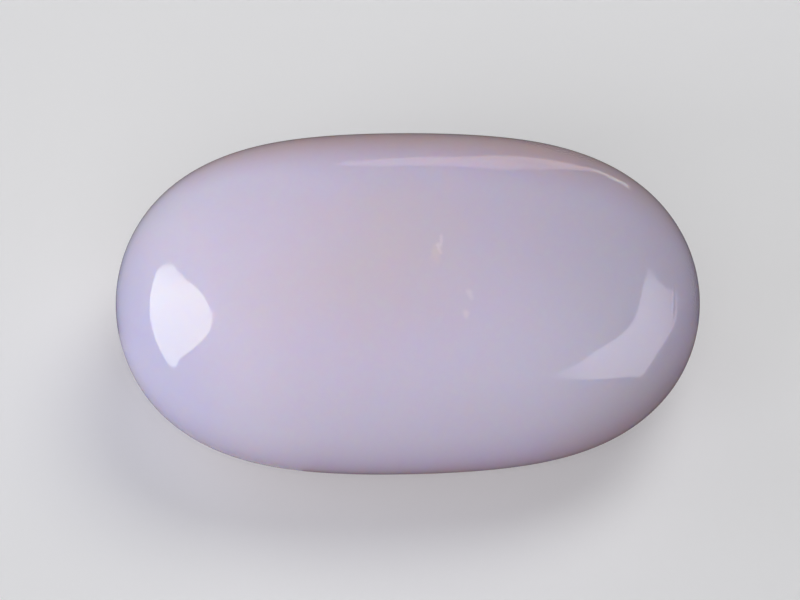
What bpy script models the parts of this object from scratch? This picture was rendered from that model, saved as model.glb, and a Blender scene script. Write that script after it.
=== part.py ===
"""A polished opal: one solid oval stone, domed on both faces, lying on a small flat on its underside.

Metres, +Z up. The origin is the middle of the resting flat, straight below the middle of the oval.
+X runs along the stone's length, and -Y is its long front side.
"""
import math

import bmesh
import bpy

# The oval outline at the girdle, the stone's widest line.
LENGTH = 0.0250
WIDTH = 0.0180
SIDE_FULLNESS = 0.32
NARROWING = 0.018
SHOULDER_LEAN = 0.02

# Heights above and below the girdle, and the resting flat as a share of the outline.
DOME_HEIGHT = 0.0051
UNDERSIDE_DEPTH = 0.0045
FLAT_SHARE = 0.42

# Facets of the solid.
SIDES = 96
DOME_RINGS = 17
UNDERSIDE_RINGS = 13

MILKY_LAVENDER = (0.50, 0.45, 0.57, 1.0)


def oval_point(angle):
    """The girdle at an angle from +X: an ellipse with fuller sides near its ends, which narrows a
    little towards +X and leans a little at its front and back."""
    across = math.sin(angle)
    along = math.cos(angle)
    fuller = across * (1.0 + SIDE_FULLNESS * along ** 2) * (1.0 - NARROWING * along)
    leaning = SHOULDER_LEAN * along * across ** 2
    return LENGTH / 2 * along, WIDTH / 2 * (fuller + leaning)


def oval_middle():
    """The middle of the outline's bounding box in Y; in X the outline is even about its origin."""
    depths = [oval_point(2 * math.pi * side / SIDES)[1] for side in range(SIDES)]
    return (max(depths) + min(depths)) / 2


def ring_levels():
    """Each ring's share of the outline and its height, from the resting flat up to just below the
    apex. Both faces swell as quarter ellipses."""
    levels = []
    for ring in range(UNDERSIDE_RINGS, 0, -1):
        slope = math.pi / 2 * ring / UNDERSIDE_RINGS
        share = FLAT_SHARE + (1.0 - FLAT_SHARE) * math.cos(slope)
        levels.append((share, UNDERSIDE_DEPTH * (1.0 - math.sin(slope))))
    for ring in range(DOME_RINGS):
        slope = math.pi / 2 * ring / DOME_RINGS
        levels.append((math.cos(slope), UNDERSIDE_DEPTH + DOME_HEIGHT * math.sin(slope)))
    return levels


def polished_opal(name):
    """The surface of the finished stone."""
    material = bpy.data.materials.new(name)
    material.use_nodes = True
    shader = material.node_tree.nodes["Principled BSDF"]
    shader.inputs["Base Color"].default_value = MILKY_LAVENDER
    shader.inputs["Roughness"].default_value = 0.08
    shader.inputs["Metallic"].default_value = 0.0
    shader.inputs["IOR"].default_value = 1.45
    return material


def opal_stone():
    """The stone: rings of the oval stacked from the flat to the apex, and closed at both."""
    stone = bmesh.new()
    middle = oval_middle()
    outline = [oval_point(2 * math.pi * side / SIDES) for side in range(SIDES)]
    rings = []
    for share, height in ring_levels():
        rings.append([stone.verts.new((x * share, (y - middle) * share, height)) for x, y in outline])
    apex = stone.verts.new((0.0, 0.0, UNDERSIDE_DEPTH + DOME_HEIGHT))

    stone.faces.new(reversed(rings[0]))
    for lower, upper in zip(rings, rings[1:]):
        for side in range(SIDES):
            following = (side + 1) % SIDES
            stone.faces.new((lower[side], lower[following], upper[following], upper[side]))
    for side in range(SIDES):
        stone.faces.new((rings[-1][side], rings[-1][(side + 1) % SIDES], apex))

    mesh = bpy.data.meshes.new("opal_stone")
    stone.to_mesh(mesh)
    stone.free()
    mesh.shade_smooth()
    mesh.set_sharp_from_angle(angle=math.radians(40))
    mesh.materials.append(polished_opal("polished_opal"))
    piece = bpy.data.objects.new("opal_stone", mesh)
    bpy.context.scene.collection.objects.link(piece)
    return piece


for leftover in list(bpy.data.objects):
    bpy.data.objects.remove(leftover)
opal_stone()
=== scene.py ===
"""A polished oval opal lying on a pale floor, in soft studio light.

Metres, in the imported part's frame: +X along the stone, -Y towards the camera, +Z up from the floor.
"""
import math

import bpy
import numpy as np
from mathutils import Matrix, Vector


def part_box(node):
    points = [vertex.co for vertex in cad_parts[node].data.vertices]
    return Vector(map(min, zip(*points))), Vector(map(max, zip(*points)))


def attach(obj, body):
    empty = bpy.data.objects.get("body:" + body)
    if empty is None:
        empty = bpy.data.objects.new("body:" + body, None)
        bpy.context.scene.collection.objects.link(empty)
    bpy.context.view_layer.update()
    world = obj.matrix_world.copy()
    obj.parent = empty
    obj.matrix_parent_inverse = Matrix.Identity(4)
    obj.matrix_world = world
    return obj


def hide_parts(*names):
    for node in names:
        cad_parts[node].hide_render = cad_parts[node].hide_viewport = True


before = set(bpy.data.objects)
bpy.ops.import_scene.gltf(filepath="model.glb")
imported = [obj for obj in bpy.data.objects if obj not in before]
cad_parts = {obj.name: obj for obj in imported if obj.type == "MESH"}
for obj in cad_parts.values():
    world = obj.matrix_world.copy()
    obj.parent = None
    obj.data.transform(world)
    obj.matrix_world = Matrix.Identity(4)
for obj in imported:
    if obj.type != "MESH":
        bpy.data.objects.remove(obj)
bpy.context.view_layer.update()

# The stone: one piece of milky common opal, ground to an oval domed on both faces and polished by
# hand to a high gloss. The girdle is its widest line, and a small flat underneath stops it rocking.
stone_low, stone_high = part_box("opal_stone")
STONE_LENGTH = stone_high[0] - stone_low[0]
STONE_WIDTH = stone_high[1] - stone_low[1]
STONE_HEIGHT = stone_high[2] - stone_low[2]
GIRDLE_SHARE = 4.5 / 9.6
GIRDLE_HEIGHT = STONE_HEIGHT * GIRDLE_SHARE
FLAT_SHARE = 0.42
SIDE_FULLNESS = 0.32
NARROWING = 0.018
SHOULDER_LEAN = 0.02
OUT_OF_TRUE = 0.000015
SWELLS = ((640, 310, 0.9), (-420, 760, 2.1), (980, 520, 4.0))
SIDES = 384
DOME_RINGS = 120
UNDERSIDE_RINGS = 70


def girdle_outline(angle):
    """The stone's oval seen from above, filling the CAD box: an ellipse with fuller sides near its
    ends, a little narrower towards +X, that leans a little at its front and back."""
    along = np.cos(angle)
    across = np.sin(angle)
    fuller = across * (1.0 + SIDE_FULLNESS * along ** 2) * (1.0 - NARROWING * along)
    depth = fuller + SHOULDER_LEAN * along * across ** 2
    depth = (depth - depth.min()) / (depth.max() - depth.min())
    return STONE_LENGTH / 2 * along, stone_low[1] + STONE_WIDTH * depth


def stone_levels():
    """Share of the outline and height of each ring, from the edge of the resting flat to just below
    the apex. Both faces swell as quarter ellipses from the girdle."""
    under = np.pi / 2 * np.arange(UNDERSIDE_RINGS, 0, -1) / UNDERSIDE_RINGS
    over = np.pi / 2 * np.arange(DOME_RINGS) / DOME_RINGS
    share = np.concatenate([FLAT_SHARE + (1.0 - FLAT_SHARE) * np.cos(under), np.cos(over)])
    low = GIRDLE_HEIGHT * (1.0 - np.sin(under))
    high = GIRDLE_HEIGHT + (STONE_HEIGHT - GIRDLE_HEIGHT) * np.sin(over)
    return share, np.concatenate([low, high])


def closed_rings(rings, bottom, top):
    """A closed mesh from a (levels, sides, 3) array: quads between rings, and a fan at each end."""
    levels, sides = rings.shape[:2]
    points = np.concatenate([rings.reshape(-1, 3), [bottom], [top]])
    here = np.arange(levels * sides).reshape(levels, sides)
    after = np.roll(here, -1, axis=1)
    quads = np.stack([here[:-1], after[:-1], after[1:], here[1:]], axis=-1).reshape(-1, 4)
    foot = np.full(sides, levels * sides)
    peak = foot + 1
    fans = np.concatenate([np.stack([foot, after[0], here[0]], axis=-1),
                           np.stack([here[-1], after[-1], peak], axis=-1)])
    mesh = bpy.data.meshes.new("opal")
    mesh.from_pydata(points.tolist(), [], quads.tolist() + fans.tolist())
    mesh.shade_smooth()
    return mesh


def out_of_true(x, y):
    """Low swells and flats that hand grinding leaves in a dome, from -1 to 1: the mean of sine waves
    6 to 9 mm long, each with its turn along x and along y, in radians a metre, and its phase."""
    return sum(np.sin(turn_x * x + turn_y * y + phase) for turn_x, turn_y, phase in SWELLS) / len(SWELLS)


def opal_mesh():
    """The stone's skin, as rings of the outline. The dome is very slightly out of true."""
    angle = 2 * np.pi * np.arange(SIDES) / SIDES
    x, y = girdle_outline(angle)
    share, height = stone_levels()
    rings = np.empty((len(share), SIDES, 3))
    rings[..., 0] = share[:, None] * x
    rings[..., 1] = share[:, None] * y
    rings[..., 2] = height[:, None]
    dome = np.arange(len(share)) >= UNDERSIDE_RINGS
    fade = np.where(dome, np.sin(np.pi * share) ** 2, 0.0)
    rings[..., 2] += OUT_OF_TRUE * fade[:, None] * out_of_true(rings[..., 0], rings[..., 1])
    return closed_rings(rings, (0.0, 0.0, 0.0), (0.0, 0.0, STONE_HEIGHT))


# The opal's colour zones, in millimetres: a pinkish heart off the middle, a bluer mantle round it,
# a cool cloud near the right end, and a thin rosy rind behind and below, whose darker, warmer colour
# is painted shade on the faces turned from the lights. Each of the flanks, violet at the left, mauve
# at the right and warm at the front right, has direction, start, full and colour. The violet is
# partly the stone's own and partly the painted blue of its lit left end; the mauve and the warm
# flank are painted shade on the right end and the lower front right.
MM = 0.001
HEART_MIDDLE = (-1.8, -1.9, 3.0)
HEART_REACH = (8.9, 6.3, 9.0)
HEART_EDGE = (0.60, 1.20)
HEART_PINK = (0.785, 0.70, 0.82, 1.0)
MANTLE_LAVENDER = (0.785, 0.715, 0.98, 1.0)
# The violet flank is partly the stone's own colour and partly painted light, the blue of the lit left end;
# the mauve and warm flanks are painted shade on the right end and the lower front right.
FLANK_TINTS_AND_PAINTED_LIGHT = (((-0.92, -0.38, 0.0), 8.5, 12.4, (0.64, 0.62, 0.99, 1.0)),
          ((1.0, 0.0, 0.0), 7.0, 12.4, (0.79, 0.67, 0.885, 1.0)),
          ((0.55, -0.84, 0.0), 9.6, 10.9, (0.785, 0.70, 0.85, 1.0)))
COOL_MIDDLE = (8.6, -3.2, 7.6)
COOL_REACH = (3.6, 4.6, 4.0)
COOL_EDGE = (1.0, 0.3)
COOL_LILAC = (0.77, 0.715, 0.99, 1.0)
COOL_STRENGTH = 0.8
# The rind's darker, warmer colour is painted shade on the rear and underside, which face away from the
# lights.
SHADED_RIND_MIDDLE = (-2.4, -2.5, 6.0)
SHADED_RIND_REACH = (16.0, 7.2, 4.8)
SHADED_RIND_EDGE = (0.95, 1.35)
SHADED_RIND_ROSE = (0.71, 0.547, 0.605, 1.0)
SHADED_RIND_WANDER = 0.12
CLOUD_SIZE = 6.0
CLOUD_DETAIL = 3.0
CLOUD_WANDER = 0.5
LIGHT_REACH = (14.0, 9.0, 6.0)

# Its small marks, in millimetres: a buff veil with a pale core of three strokes, and two pale flecks
# to its right, each as middle, reach, turn about the upright in degrees, colour and strength.
MARKS = (((1.20, -2.38, 9.40), (0.36, 0.98, 0.8), -9.0, (0.88, 0.76, 0.81, 1.0), 0.60),
         ((1.41, -1.74, 9.48), (0.12, 0.50, 0.5), 0.0, (0.97, 0.85, 0.97, 1.0), 0.62),
         ((1.32, -2.24, 9.42), (0.12, 0.36, 0.5), 19.0, (0.97, 0.85, 0.96, 1.0), 0.62),
         ((1.33, -2.00, 9.45), (0.18, 0.20, 0.5), 0.0, (0.97, 0.87, 0.96, 1.0), 0.55),
         ((2.58, -4.40, 8.87), (0.19, 0.38, 0.5), 15.0, (0.94, 0.85, 0.985, 1.0), 0.50),
         ((2.43, -5.28, 8.55), (0.21, 0.30, 0.4), 0.0, (0.95, 0.85, 0.985, 1.0), 0.55))
MARK_EDGE = (1.0, 0.15)
RAGGED_SIZE = 0.28
RAGGED_DETAIL = 2.0
RAGGED_WANDER = 0.9

# Its polish: clear and glossy, with the faint ripple that a hand-held stone keeps, finely pitted
# where the wheel missed the rear right shoulder and the right end, and a hairline at that end. Each
# ripple has its size and height, in millimetres, and each pitted patch its middle, reach and turn.
POLISH_ROUGHNESS = 0.045
OPAL_IOR = 1.45
RIPPLES = ((2.6, 0.022), (0.26, 0.002))
PITTED = (((6.6, 6.3, 7.7), (2.6, 0.9, 1.2), -12.0), ((12.4, 0.4, 5.2), (0.7, 3.4, 1.4), 0.0))
PITTED_EDGE = (1.0, 0.4)
PITTED_WANDER = 0.3
PIT_SIZE = 0.11
PIT_HEIGHT = 0.03
HAIRLINE = ((11.24, -2.30, 6.40), (0.09, 1.25, 0.9), -3.0)
HAIRLINE_HEIGHT = 0.012


def noise(tree, size, detail=0.0):
    """A cloud over the stone, from 0 to 1, with features of `size` millimetres."""
    cloud = tree.nodes.new("ShaderNodeTexNoise")
    cloud.inputs["Scale"].default_value = 1 / (size * MM)
    cloud.inputs["Detail"].default_value = detail
    tree.links.new(tree.nodes["Texture Coordinate"].outputs["Object"], cloud.inputs["Vector"])
    return cloud.outputs["Fac"]


def smooth_rise(tree, value, none, full, most=1.0):
    """A share that rises smoothly from 0 where `value` is `none` to `most` where it is `full`."""
    rise = tree.nodes.new("ShaderNodeMapRange")
    rise.interpolation_type = "SMOOTHSTEP"
    rise.inputs["From Min"].default_value = none
    rise.inputs["From Max"].default_value = full
    rise.inputs["To Max"].default_value = most
    tree.links.new(value, rise.inputs["Value"])
    return rise.outputs["Result"]


def zone_share(tree, cloud, wander, middle, reach, edge, turn=0.0, most=1.0):
    """The share of an oval zone at a point: 0 at the first distance of `edge` from its middle, in
    parts of its reach, and `most` at the second. `cloud` moves that edge by up to half of `wander`
    either way, and `turn` turns the zone about the upright, in degrees."""
    nodes = tree.nodes
    links = tree.links
    zone = nodes.new("ShaderNodeMapping")
    zone.vector_type = "TEXTURE"
    zone.inputs["Location"].default_value = [at * MM for at in middle]
    zone.inputs["Rotation"].default_value = (0.0, 0.0, math.radians(turn))
    zone.inputs["Scale"].default_value = [size * MM for size in reach]
    links.new(nodes["Texture Coordinate"].outputs["Object"], zone.inputs["Vector"])
    distance = nodes.new("ShaderNodeVectorMath")
    distance.operation = "LENGTH"
    links.new(zone.outputs["Vector"], distance.inputs[0])
    moved = nodes.new("ShaderNodeMath")
    moved.operation = "MULTIPLY_ADD"
    moved.inputs[1].default_value = wander
    links.new(cloud, moved.inputs[0])
    links.new(distance.outputs["Value"], moved.inputs[2])
    none, full = edge
    return smooth_rise(tree, moved.outputs["Value"], none + wander / 2, full + wander / 2, most)


def flank_share(tree, direction, start, full):
    """The share of a flank at a point: 0 up to `start` millimetres along `direction` from the
    stone's upright middle line, and 1 from `full` on."""
    along = tree.nodes.new("ShaderNodeVectorMath")
    along.operation = "DOT_PRODUCT"
    along.inputs[1].default_value = direction
    tree.links.new(tree.nodes["Texture Coordinate"].outputs["Object"], along.inputs[0])
    return smooth_rise(tree, along.outputs["Value"], start * MM, full * MM)


def mixed(tree, share, under, over):
    """The colour `over` laid on `under` by `share`. `under` is a colour or another node's output."""
    mix = tree.nodes.new("ShaderNodeMix")
    mix.data_type = "RGBA"
    mix.inputs["B"].default_value = over
    tree.links.new(share, mix.inputs["Factor"])
    if isinstance(under, tuple):
        mix.inputs["A"].default_value = under
    else:
        tree.links.new(under, mix.inputs["A"])
    return mix.outputs["Result"]


def opal_colour(tree, cloud, ragged):
    """The stone's colour: its zones laid one on another from the heart outwards, with painted light and
    shade in its flanks and rind, then its marks.
    """
    mantle = zone_share(tree, cloud, CLOUD_WANDER, HEART_MIDDLE, HEART_REACH, HEART_EDGE)
    colour = mixed(tree, mantle, HEART_PINK, MANTLE_LAVENDER)
    # The flanks paint light and shade: blue on the lit left end, darker mauve and warm tints on the shaded
    # right.
    for direction, start, full, tint in FLANK_TINTS_AND_PAINTED_LIGHT:
        colour = mixed(tree, flank_share(tree, direction, start, full), colour, tint)
    cool = zone_share(tree, cloud, CLOUD_WANDER, COOL_MIDDLE, COOL_REACH, COOL_EDGE, most=COOL_STRENGTH)
    colour = mixed(tree, cool, colour, COOL_LILAC)
    # Painted shade: the rind darkens and warms the rear and the underside.
    shaded_rind = zone_share(tree, cloud, SHADED_RIND_WANDER, SHADED_RIND_MIDDLE, SHADED_RIND_REACH, SHADED_RIND_EDGE)
    colour = mixed(tree, shaded_rind, colour, SHADED_RIND_ROSE)
    for middle, reach, turn, tint, strength in MARKS:
        mark = zone_share(tree, ragged, RAGGED_WANDER, middle, reach, MARK_EDGE, turn, strength)
        colour = mixed(tree, mark, colour, tint)
    return colour


def raised(tree, normal, relief, height):
    """A bump on the polish `normal`, `height` millimetres high where `relief` is 1."""
    bump = tree.nodes.new("ShaderNodeBump")
    bump.inputs["Strength"].default_value = 1.0
    bump.inputs["Distance"].default_value = height * MM
    tree.links.new(relief, bump.inputs["Height"])
    if normal:
        tree.links.new(normal, bump.inputs["Normal"])
    return bump


def opal_polish(tree, cloud, ragged):
    """The normal of the polish: its ripples, then the pits where it is pitted, then the hairline."""
    normal = None
    for size, height in RIPPLES:
        normal = raised(tree, normal, noise(tree, size), height).outputs["Normal"]
    for middle, reach, turn in PITTED:
        pits = raised(tree, normal, noise(tree, PIT_SIZE), PIT_HEIGHT)
        where = zone_share(tree, cloud, PITTED_WANDER, middle, reach, PITTED_EDGE, turn)
        tree.links.new(where, pits.inputs["Strength"])
        normal = pits.outputs["Normal"]
    middle, reach, turn = HAIRLINE
    line = zone_share(tree, ragged, RAGGED_WANDER, middle, reach, MARK_EDGE, turn)
    return raised(tree, normal, line, HAIRLINE_HEIGHT).outputs["Normal"]


def milky_opal():
    """Milky opal: light wanders some millimetres inside, red farthest, under a clear polish."""
    material = bpy.data.materials.new("milky_opal")
    material.use_nodes = True
    tree = material.node_tree
    shader = tree.nodes["Principled BSDF"]
    tree.nodes.new("ShaderNodeTexCoord")
    cloud = noise(tree, CLOUD_SIZE, CLOUD_DETAIL)
    ragged = noise(tree, RAGGED_SIZE, RAGGED_DETAIL)
    tree.links.new(opal_colour(tree, cloud, ragged), shader.inputs["Base Color"])
    tree.links.new(opal_polish(tree, cloud, ragged), shader.inputs["Normal"])
    shader.inputs["Roughness"].default_value = POLISH_ROUGHNESS
    shader.inputs["IOR"].default_value = OPAL_IOR
    shader.inputs["Subsurface Weight"].default_value = 1.0
    shader.inputs["Subsurface Radius"].default_value = [reach / max(LIGHT_REACH) for reach in LIGHT_REACH]
    shader.inputs["Subsurface Scale"].default_value = max(LIGHT_REACH) * MM
    return material


opal = bpy.data.objects.new("milky_opal_stone", opal_mesh())
bpy.context.scene.collection.objects.link(opal)
opal.data.materials.append(milky_opal())
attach(opal, "root")
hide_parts("opal_stone")

# The floor: a plain pale matt sheet, evenly lit. It isn't part of the stone, which sees it dimmer
# than the camera does, so that the stone's own shading stays clear.
FLOOR_REACH = 1.4
FLOOR_COLOUR = (0.74, 0.74, 0.75, 1.0)
FLOOR_GLOW = 0.21
FLOOR_FOR_BODY = (0.142, 0.117, 0.154, 1.0)
FLOOR_IN_POLISH = (0.02, 0.02, 0.02, 1.0)


def pale_paper():
    """Matt paper with an even glow for the camera, an even mauve dimness for the light that the
    stone gathers, and a darker grey as its polish mirrors it."""
    material = bpy.data.materials.new("pale_paper")
    material.use_nodes = True
    nodes = material.node_tree.nodes
    links = material.node_tree.links
    shader = nodes["Principled BSDF"]
    shader.inputs["Base Color"].default_value = FLOOR_COLOUR
    shader.inputs["Roughness"].default_value = 1.0
    shader.inputs["Specular IOR Level"].default_value = 0.0
    shader.inputs["Emission Color"].default_value = (1.0, 1.0, 1.0, 1.0)
    shader.inputs["Emission Strength"].default_value = FLOOR_GLOW
    ray = nodes.new("ShaderNodeLightPath")
    dim = nodes.new("ShaderNodeMix")
    dim.data_type = "RGBA"
    dim.inputs["A"].default_value = FLOOR_FOR_BODY
    dim.inputs["B"].default_value = FLOOR_IN_POLISH
    links.new(ray.outputs["Is Glossy Ray"], dim.inputs["Factor"])
    even = nodes.new("ShaderNodeEmission")
    links.new(dim.outputs["Result"], even.inputs["Color"])
    seen = nodes.new("ShaderNodeMixShader")
    links.new(ray.outputs["Is Camera Ray"], seen.inputs["Fac"])
    links.new(even.outputs["Emission"], seen.inputs[1])
    links.new(shader.outputs["BSDF"], seen.inputs[2])
    links.new(seen.outputs["Shader"], nodes["Material Output"].inputs["Surface"])
    return material


floor_mesh = bpy.data.meshes.new("floor")
floor_mesh.from_pydata([(-FLOOR_REACH, -FLOOR_REACH, 0), (FLOOR_REACH, -FLOOR_REACH, 0),
                        (FLOOR_REACH, FLOOR_REACH, 0), (-FLOOR_REACH, FLOOR_REACH, 0)], [], [(0, 1, 2, 3)])
floor = bpy.data.objects.new("floor", floor_mesh)
bpy.context.scene.collection.objects.link(floor)
floor_mesh.materials.append(pale_paper())

# The panels: a bright dome light on the left, a dimmer broad screen on the right, a slanting card
# behind, and three low cards on the table. Each is seen only as its mirror image in the stone's polish.
LIGHT_DISTANCE = 0.40


def upright(facing, shape):
    """Corners of an upright panel at LIGHT_DISTANCE in the compass direction `facing` (0 towards the
    camera, 90 right). `shape` lists them as tangents, sideways and up from the girdle's middle."""
    away = math.radians(facing)
    out = np.array([math.sin(away), -math.cos(away), 0.0])
    side = np.array([math.cos(away), math.sin(away), 0.0])
    corners = np.asarray(shape, float) * LIGHT_DISTANCE
    points = out * LIGHT_DISTANCE + corners[:, :1] * side
    points[:, 2] = GIRDLE_HEIGHT + corners[:, 1]
    return points


def lying(lift, shape):
    """Corners of a card that lies `lift` above the floor, from its plan. Both are in millimetres."""
    return [(x * MM, y * MM, lift * MM) for x, y in shape]


def faded(tree, radiance, fades):
    """The radiance over a panel, dimmed by each fade's ramp along its direction."""
    place = tree.nodes.new("ShaderNodeTexCoord")
    strength = None
    for direction, dim, bright, share in fades:
        along = tree.nodes.new("ShaderNodeVectorMath")
        along.operation = "DOT_PRODUCT"
        along.inputs[1].default_value = direction
        tree.links.new(place.outputs["Object"], along.inputs[0])
        rise = tree.nodes.new("ShaderNodeMapRange")
        rise.inputs["From Min"].default_value = dim
        rise.inputs["From Max"].default_value = bright
        rise.inputs["To Min"].default_value = share
        tree.links.new(along.outputs["Value"], rise.inputs["Value"])
        product = tree.nodes.new("ShaderNodeMath")
        product.operation = "MULTIPLY"
        product.inputs[1].default_value = radiance
        tree.links.new(rise.outputs["Result"], product.inputs[0])
        if strength:
            tree.links.new(strength, product.inputs[1])
        strength = product.outputs["Value"]
    return strength


def glowing_panel(name, points, radiance, tint=(1.0, 1.0, 1.0, 1.0), fades=()):
    """A flat panel through `points`, in metres, that only a mirror sees. Each of `fades` is a
    direction, two distances along it, in metres, and the share to which it dims at the first."""
    mesh = bpy.data.meshes.new(name)
    mesh.from_pydata([tuple(map(float, point)) for point in points], [], [tuple(range(len(points)))])
    panel = bpy.data.objects.new(name, mesh)
    bpy.context.scene.collection.objects.link(panel)
    glow = bpy.data.materials.new(name)
    glow.use_nodes = True
    tree = glow.node_tree
    tree.nodes.clear()
    emission = tree.nodes.new("ShaderNodeEmission")
    emission.inputs["Color"].default_value = tint
    emission.inputs["Strength"].default_value = radiance
    if fades:
        tree.links.new(faded(tree, radiance, fades), emission.inputs["Strength"])
    output = tree.nodes.new("ShaderNodeOutputMaterial")
    tree.links.new(emission.outputs["Emission"], output.inputs["Surface"])
    mesh.materials.append(glow)
    panel.visible_camera = False
    panel.visible_diffuse = False
    panel.visible_shadow = False


glowing_panel("left_light", upright(-110, (
    (-0.39, 0.325), (-0.43, 0.345), (-0.455, 0.40), (-0.46, 0.49), (-0.42, 0.60), (-0.345, 0.785),
    (-0.28, 0.905), (-0.16, 1.03), (-0.06, 1.08), (0.05, 1.10), (0.15, 1.085), (0.26, 1.01),
    (0.33, 0.90), (0.41, 0.70), (0.455, 0.55), (0.53, 0.34), (0.44, 0.265), (0.10, 0.275),
    (-0.10, 0.275), (-0.22, 0.285))), 5.9, tint=(0.94, 1.0, 0.79, 1.0),
    fades=(((-0.34, -0.94, 0.0), -0.185, -0.12, 0.5),))
glowing_panel("right_screen", upright(75, (
    (-0.80, 1.13), (-0.63, 0.78), (-0.40, 0.525), (-0.21, 0.33), (-0.10, 0.19), (-0.02, 0.06),
    (0.03, 0.04), (0.15, 0.115), (0.30, 0.155), (0.52, 0.15), (0.76, 0.10), (1.15, 0.10),
    (1.23, 0.14), (1.25, 0.38), (1.36, 0.58), (1.68, 0.79), (1.26, 0.88), (0.86, 0.85),
    (0.52, 0.875), (0.30, 0.955), (0.05, 1.06))), 3.0, tint=(1.04, 0.97, 1.11, 1.0),
    fades=(((0.26, 0.97, 0.0), -0.42, -0.10, 0.0), ((0.18, 0.68, -0.71), 0.252, 0.02, 0.41)))
glowing_panel("rear_card", upright(180, (
    (0.10, 0.32), (0.07, 0.25), (-0.05, 0.17), (-0.19, 0.08), (-0.29, 0.0), (-0.33, 0.0),
    (-0.29, 0.14), (-0.24, 0.27), (-0.16, 0.35), (-0.06, 0.33))), 0.95, tint=(1.0, 0.76, 0.78, 1.0))
glowing_panel("table_card", lying(0.5, (
    (25, 46), (34, 93), (57, 185), (114, 390), (135, 370), (77, 185), (52, 107))),
    1.0, tint=(0.95, 1.0, 0.95, 1.0))
glowing_panel("front_left_card", lying(0.3, (
    (-12.2, 2.0), (-36, 2), (-30, -26), (-4.5, -30), (-4.5, -4.8), (-7.8, -4.2), (-10.3, -1.6))),
    0.32, tint=(1.0, 0.95, 1.05, 1.0))
glowing_panel("front_right_card", lying(0.3, (
    (-4.5, -5.0), (-4.5, -30), (40, -30), (40, 3), (12.2, 3), (11.2, -1.0), (8.5, -4.0), (4.0, -5.0))),
    0.13, tint=(1.0, 0.82, 0.70, 1.0))

# The soft lights: broad and far, three low ones round the left end, one over the camera, and two
# higher ones behind the right end. They give the stone's body its shading and the floor its faint
# shadows, and the polish doesn't mirror them.
SOFTNESS = math.radians(40.0)


def soft_light(name, facing, height, strength, tint=(1.0, 1.0, 1.0)):
    """A broad far light in the compass direction `facing`, `height` degrees above the floor."""
    turn = math.radians(facing)
    rise = math.radians(height)
    towards = Vector((math.sin(turn) * math.cos(rise), -math.cos(turn) * math.cos(rise), math.sin(rise)))
    data = bpy.data.lights.new(name, "SUN")
    data.angle = SOFTNESS
    data.energy = strength
    data.color = tint
    lamp = bpy.data.objects.new(name, data)
    lamp.rotation_euler = towards.to_track_quat("Z", "Y").to_euler()
    lamp.visible_glossy = False
    bpy.context.scene.collection.objects.link(lamp)


soft_light("left_fill", -95, 10, 0.76, tint=(0.98, 0.98, 1.06))
soft_light("rear_left_fill", -135, 10, 0.97)
soft_light("front_left_fill", -45, 10, 1.42, tint=(1.0, 1.0, 1.05))
soft_light("front_fill", 0, 35, 0.83)
soft_light("rear_right_fill", 135, 35, 0.30)
soft_light("high_right_fill", 135, 60, 0.93)

# The backdrop: an even pale grey past the floor's edge, which only the camera sees. It doesn't
# light the stone or show in its polish.
BACKDROP_GREY = (0.70, 0.70, 0.71, 1.0)
world = bpy.data.worlds.new("studio")
bpy.context.scene.world = world
world.use_nodes = True
world.node_tree.nodes["Background"].inputs["Color"].default_value = BACKDROP_GREY
world.cycles_visibility.diffuse = False
world.cycles_visibility.glossy = False

# The camera: a long lens that looks down from 43 degrees on the stone's front side. It aims at the
# middle of the girdle, and the picture is then shifted by a few of its 800 pixels.
CAMERA_ELEVATION = math.radians(43.0)
CAMERA_DISTANCE = 0.250
LENS = 262.7
PICTURE_WIDTH = 800
SHIFT_ACROSS = -7.8
SHIFT_UP = -1.45
camera_data = bpy.data.cameras.new("camera")
camera_data.lens = LENS
camera_data.shift_x = SHIFT_ACROSS / PICTURE_WIDTH
camera_data.shift_y = SHIFT_UP / PICTURE_WIDTH
camera_data.clip_start = 0.01
camera_data.clip_end = 5.0
camera = bpy.data.objects.new("camera", camera_data)
bpy.context.scene.collection.objects.link(camera)
camera.location = (0.0, -CAMERA_DISTANCE * math.cos(CAMERA_ELEVATION),
                   GIRDLE_HEIGHT + CAMERA_DISTANCE * math.sin(CAMERA_ELEVATION))
camera.rotation_euler = (math.pi / 2 - CAMERA_ELEVATION, 0.0, 0.0)
bpy.context.scene.camera = camera
bpy.context.scene.view_settings.view_transform = "Standard"
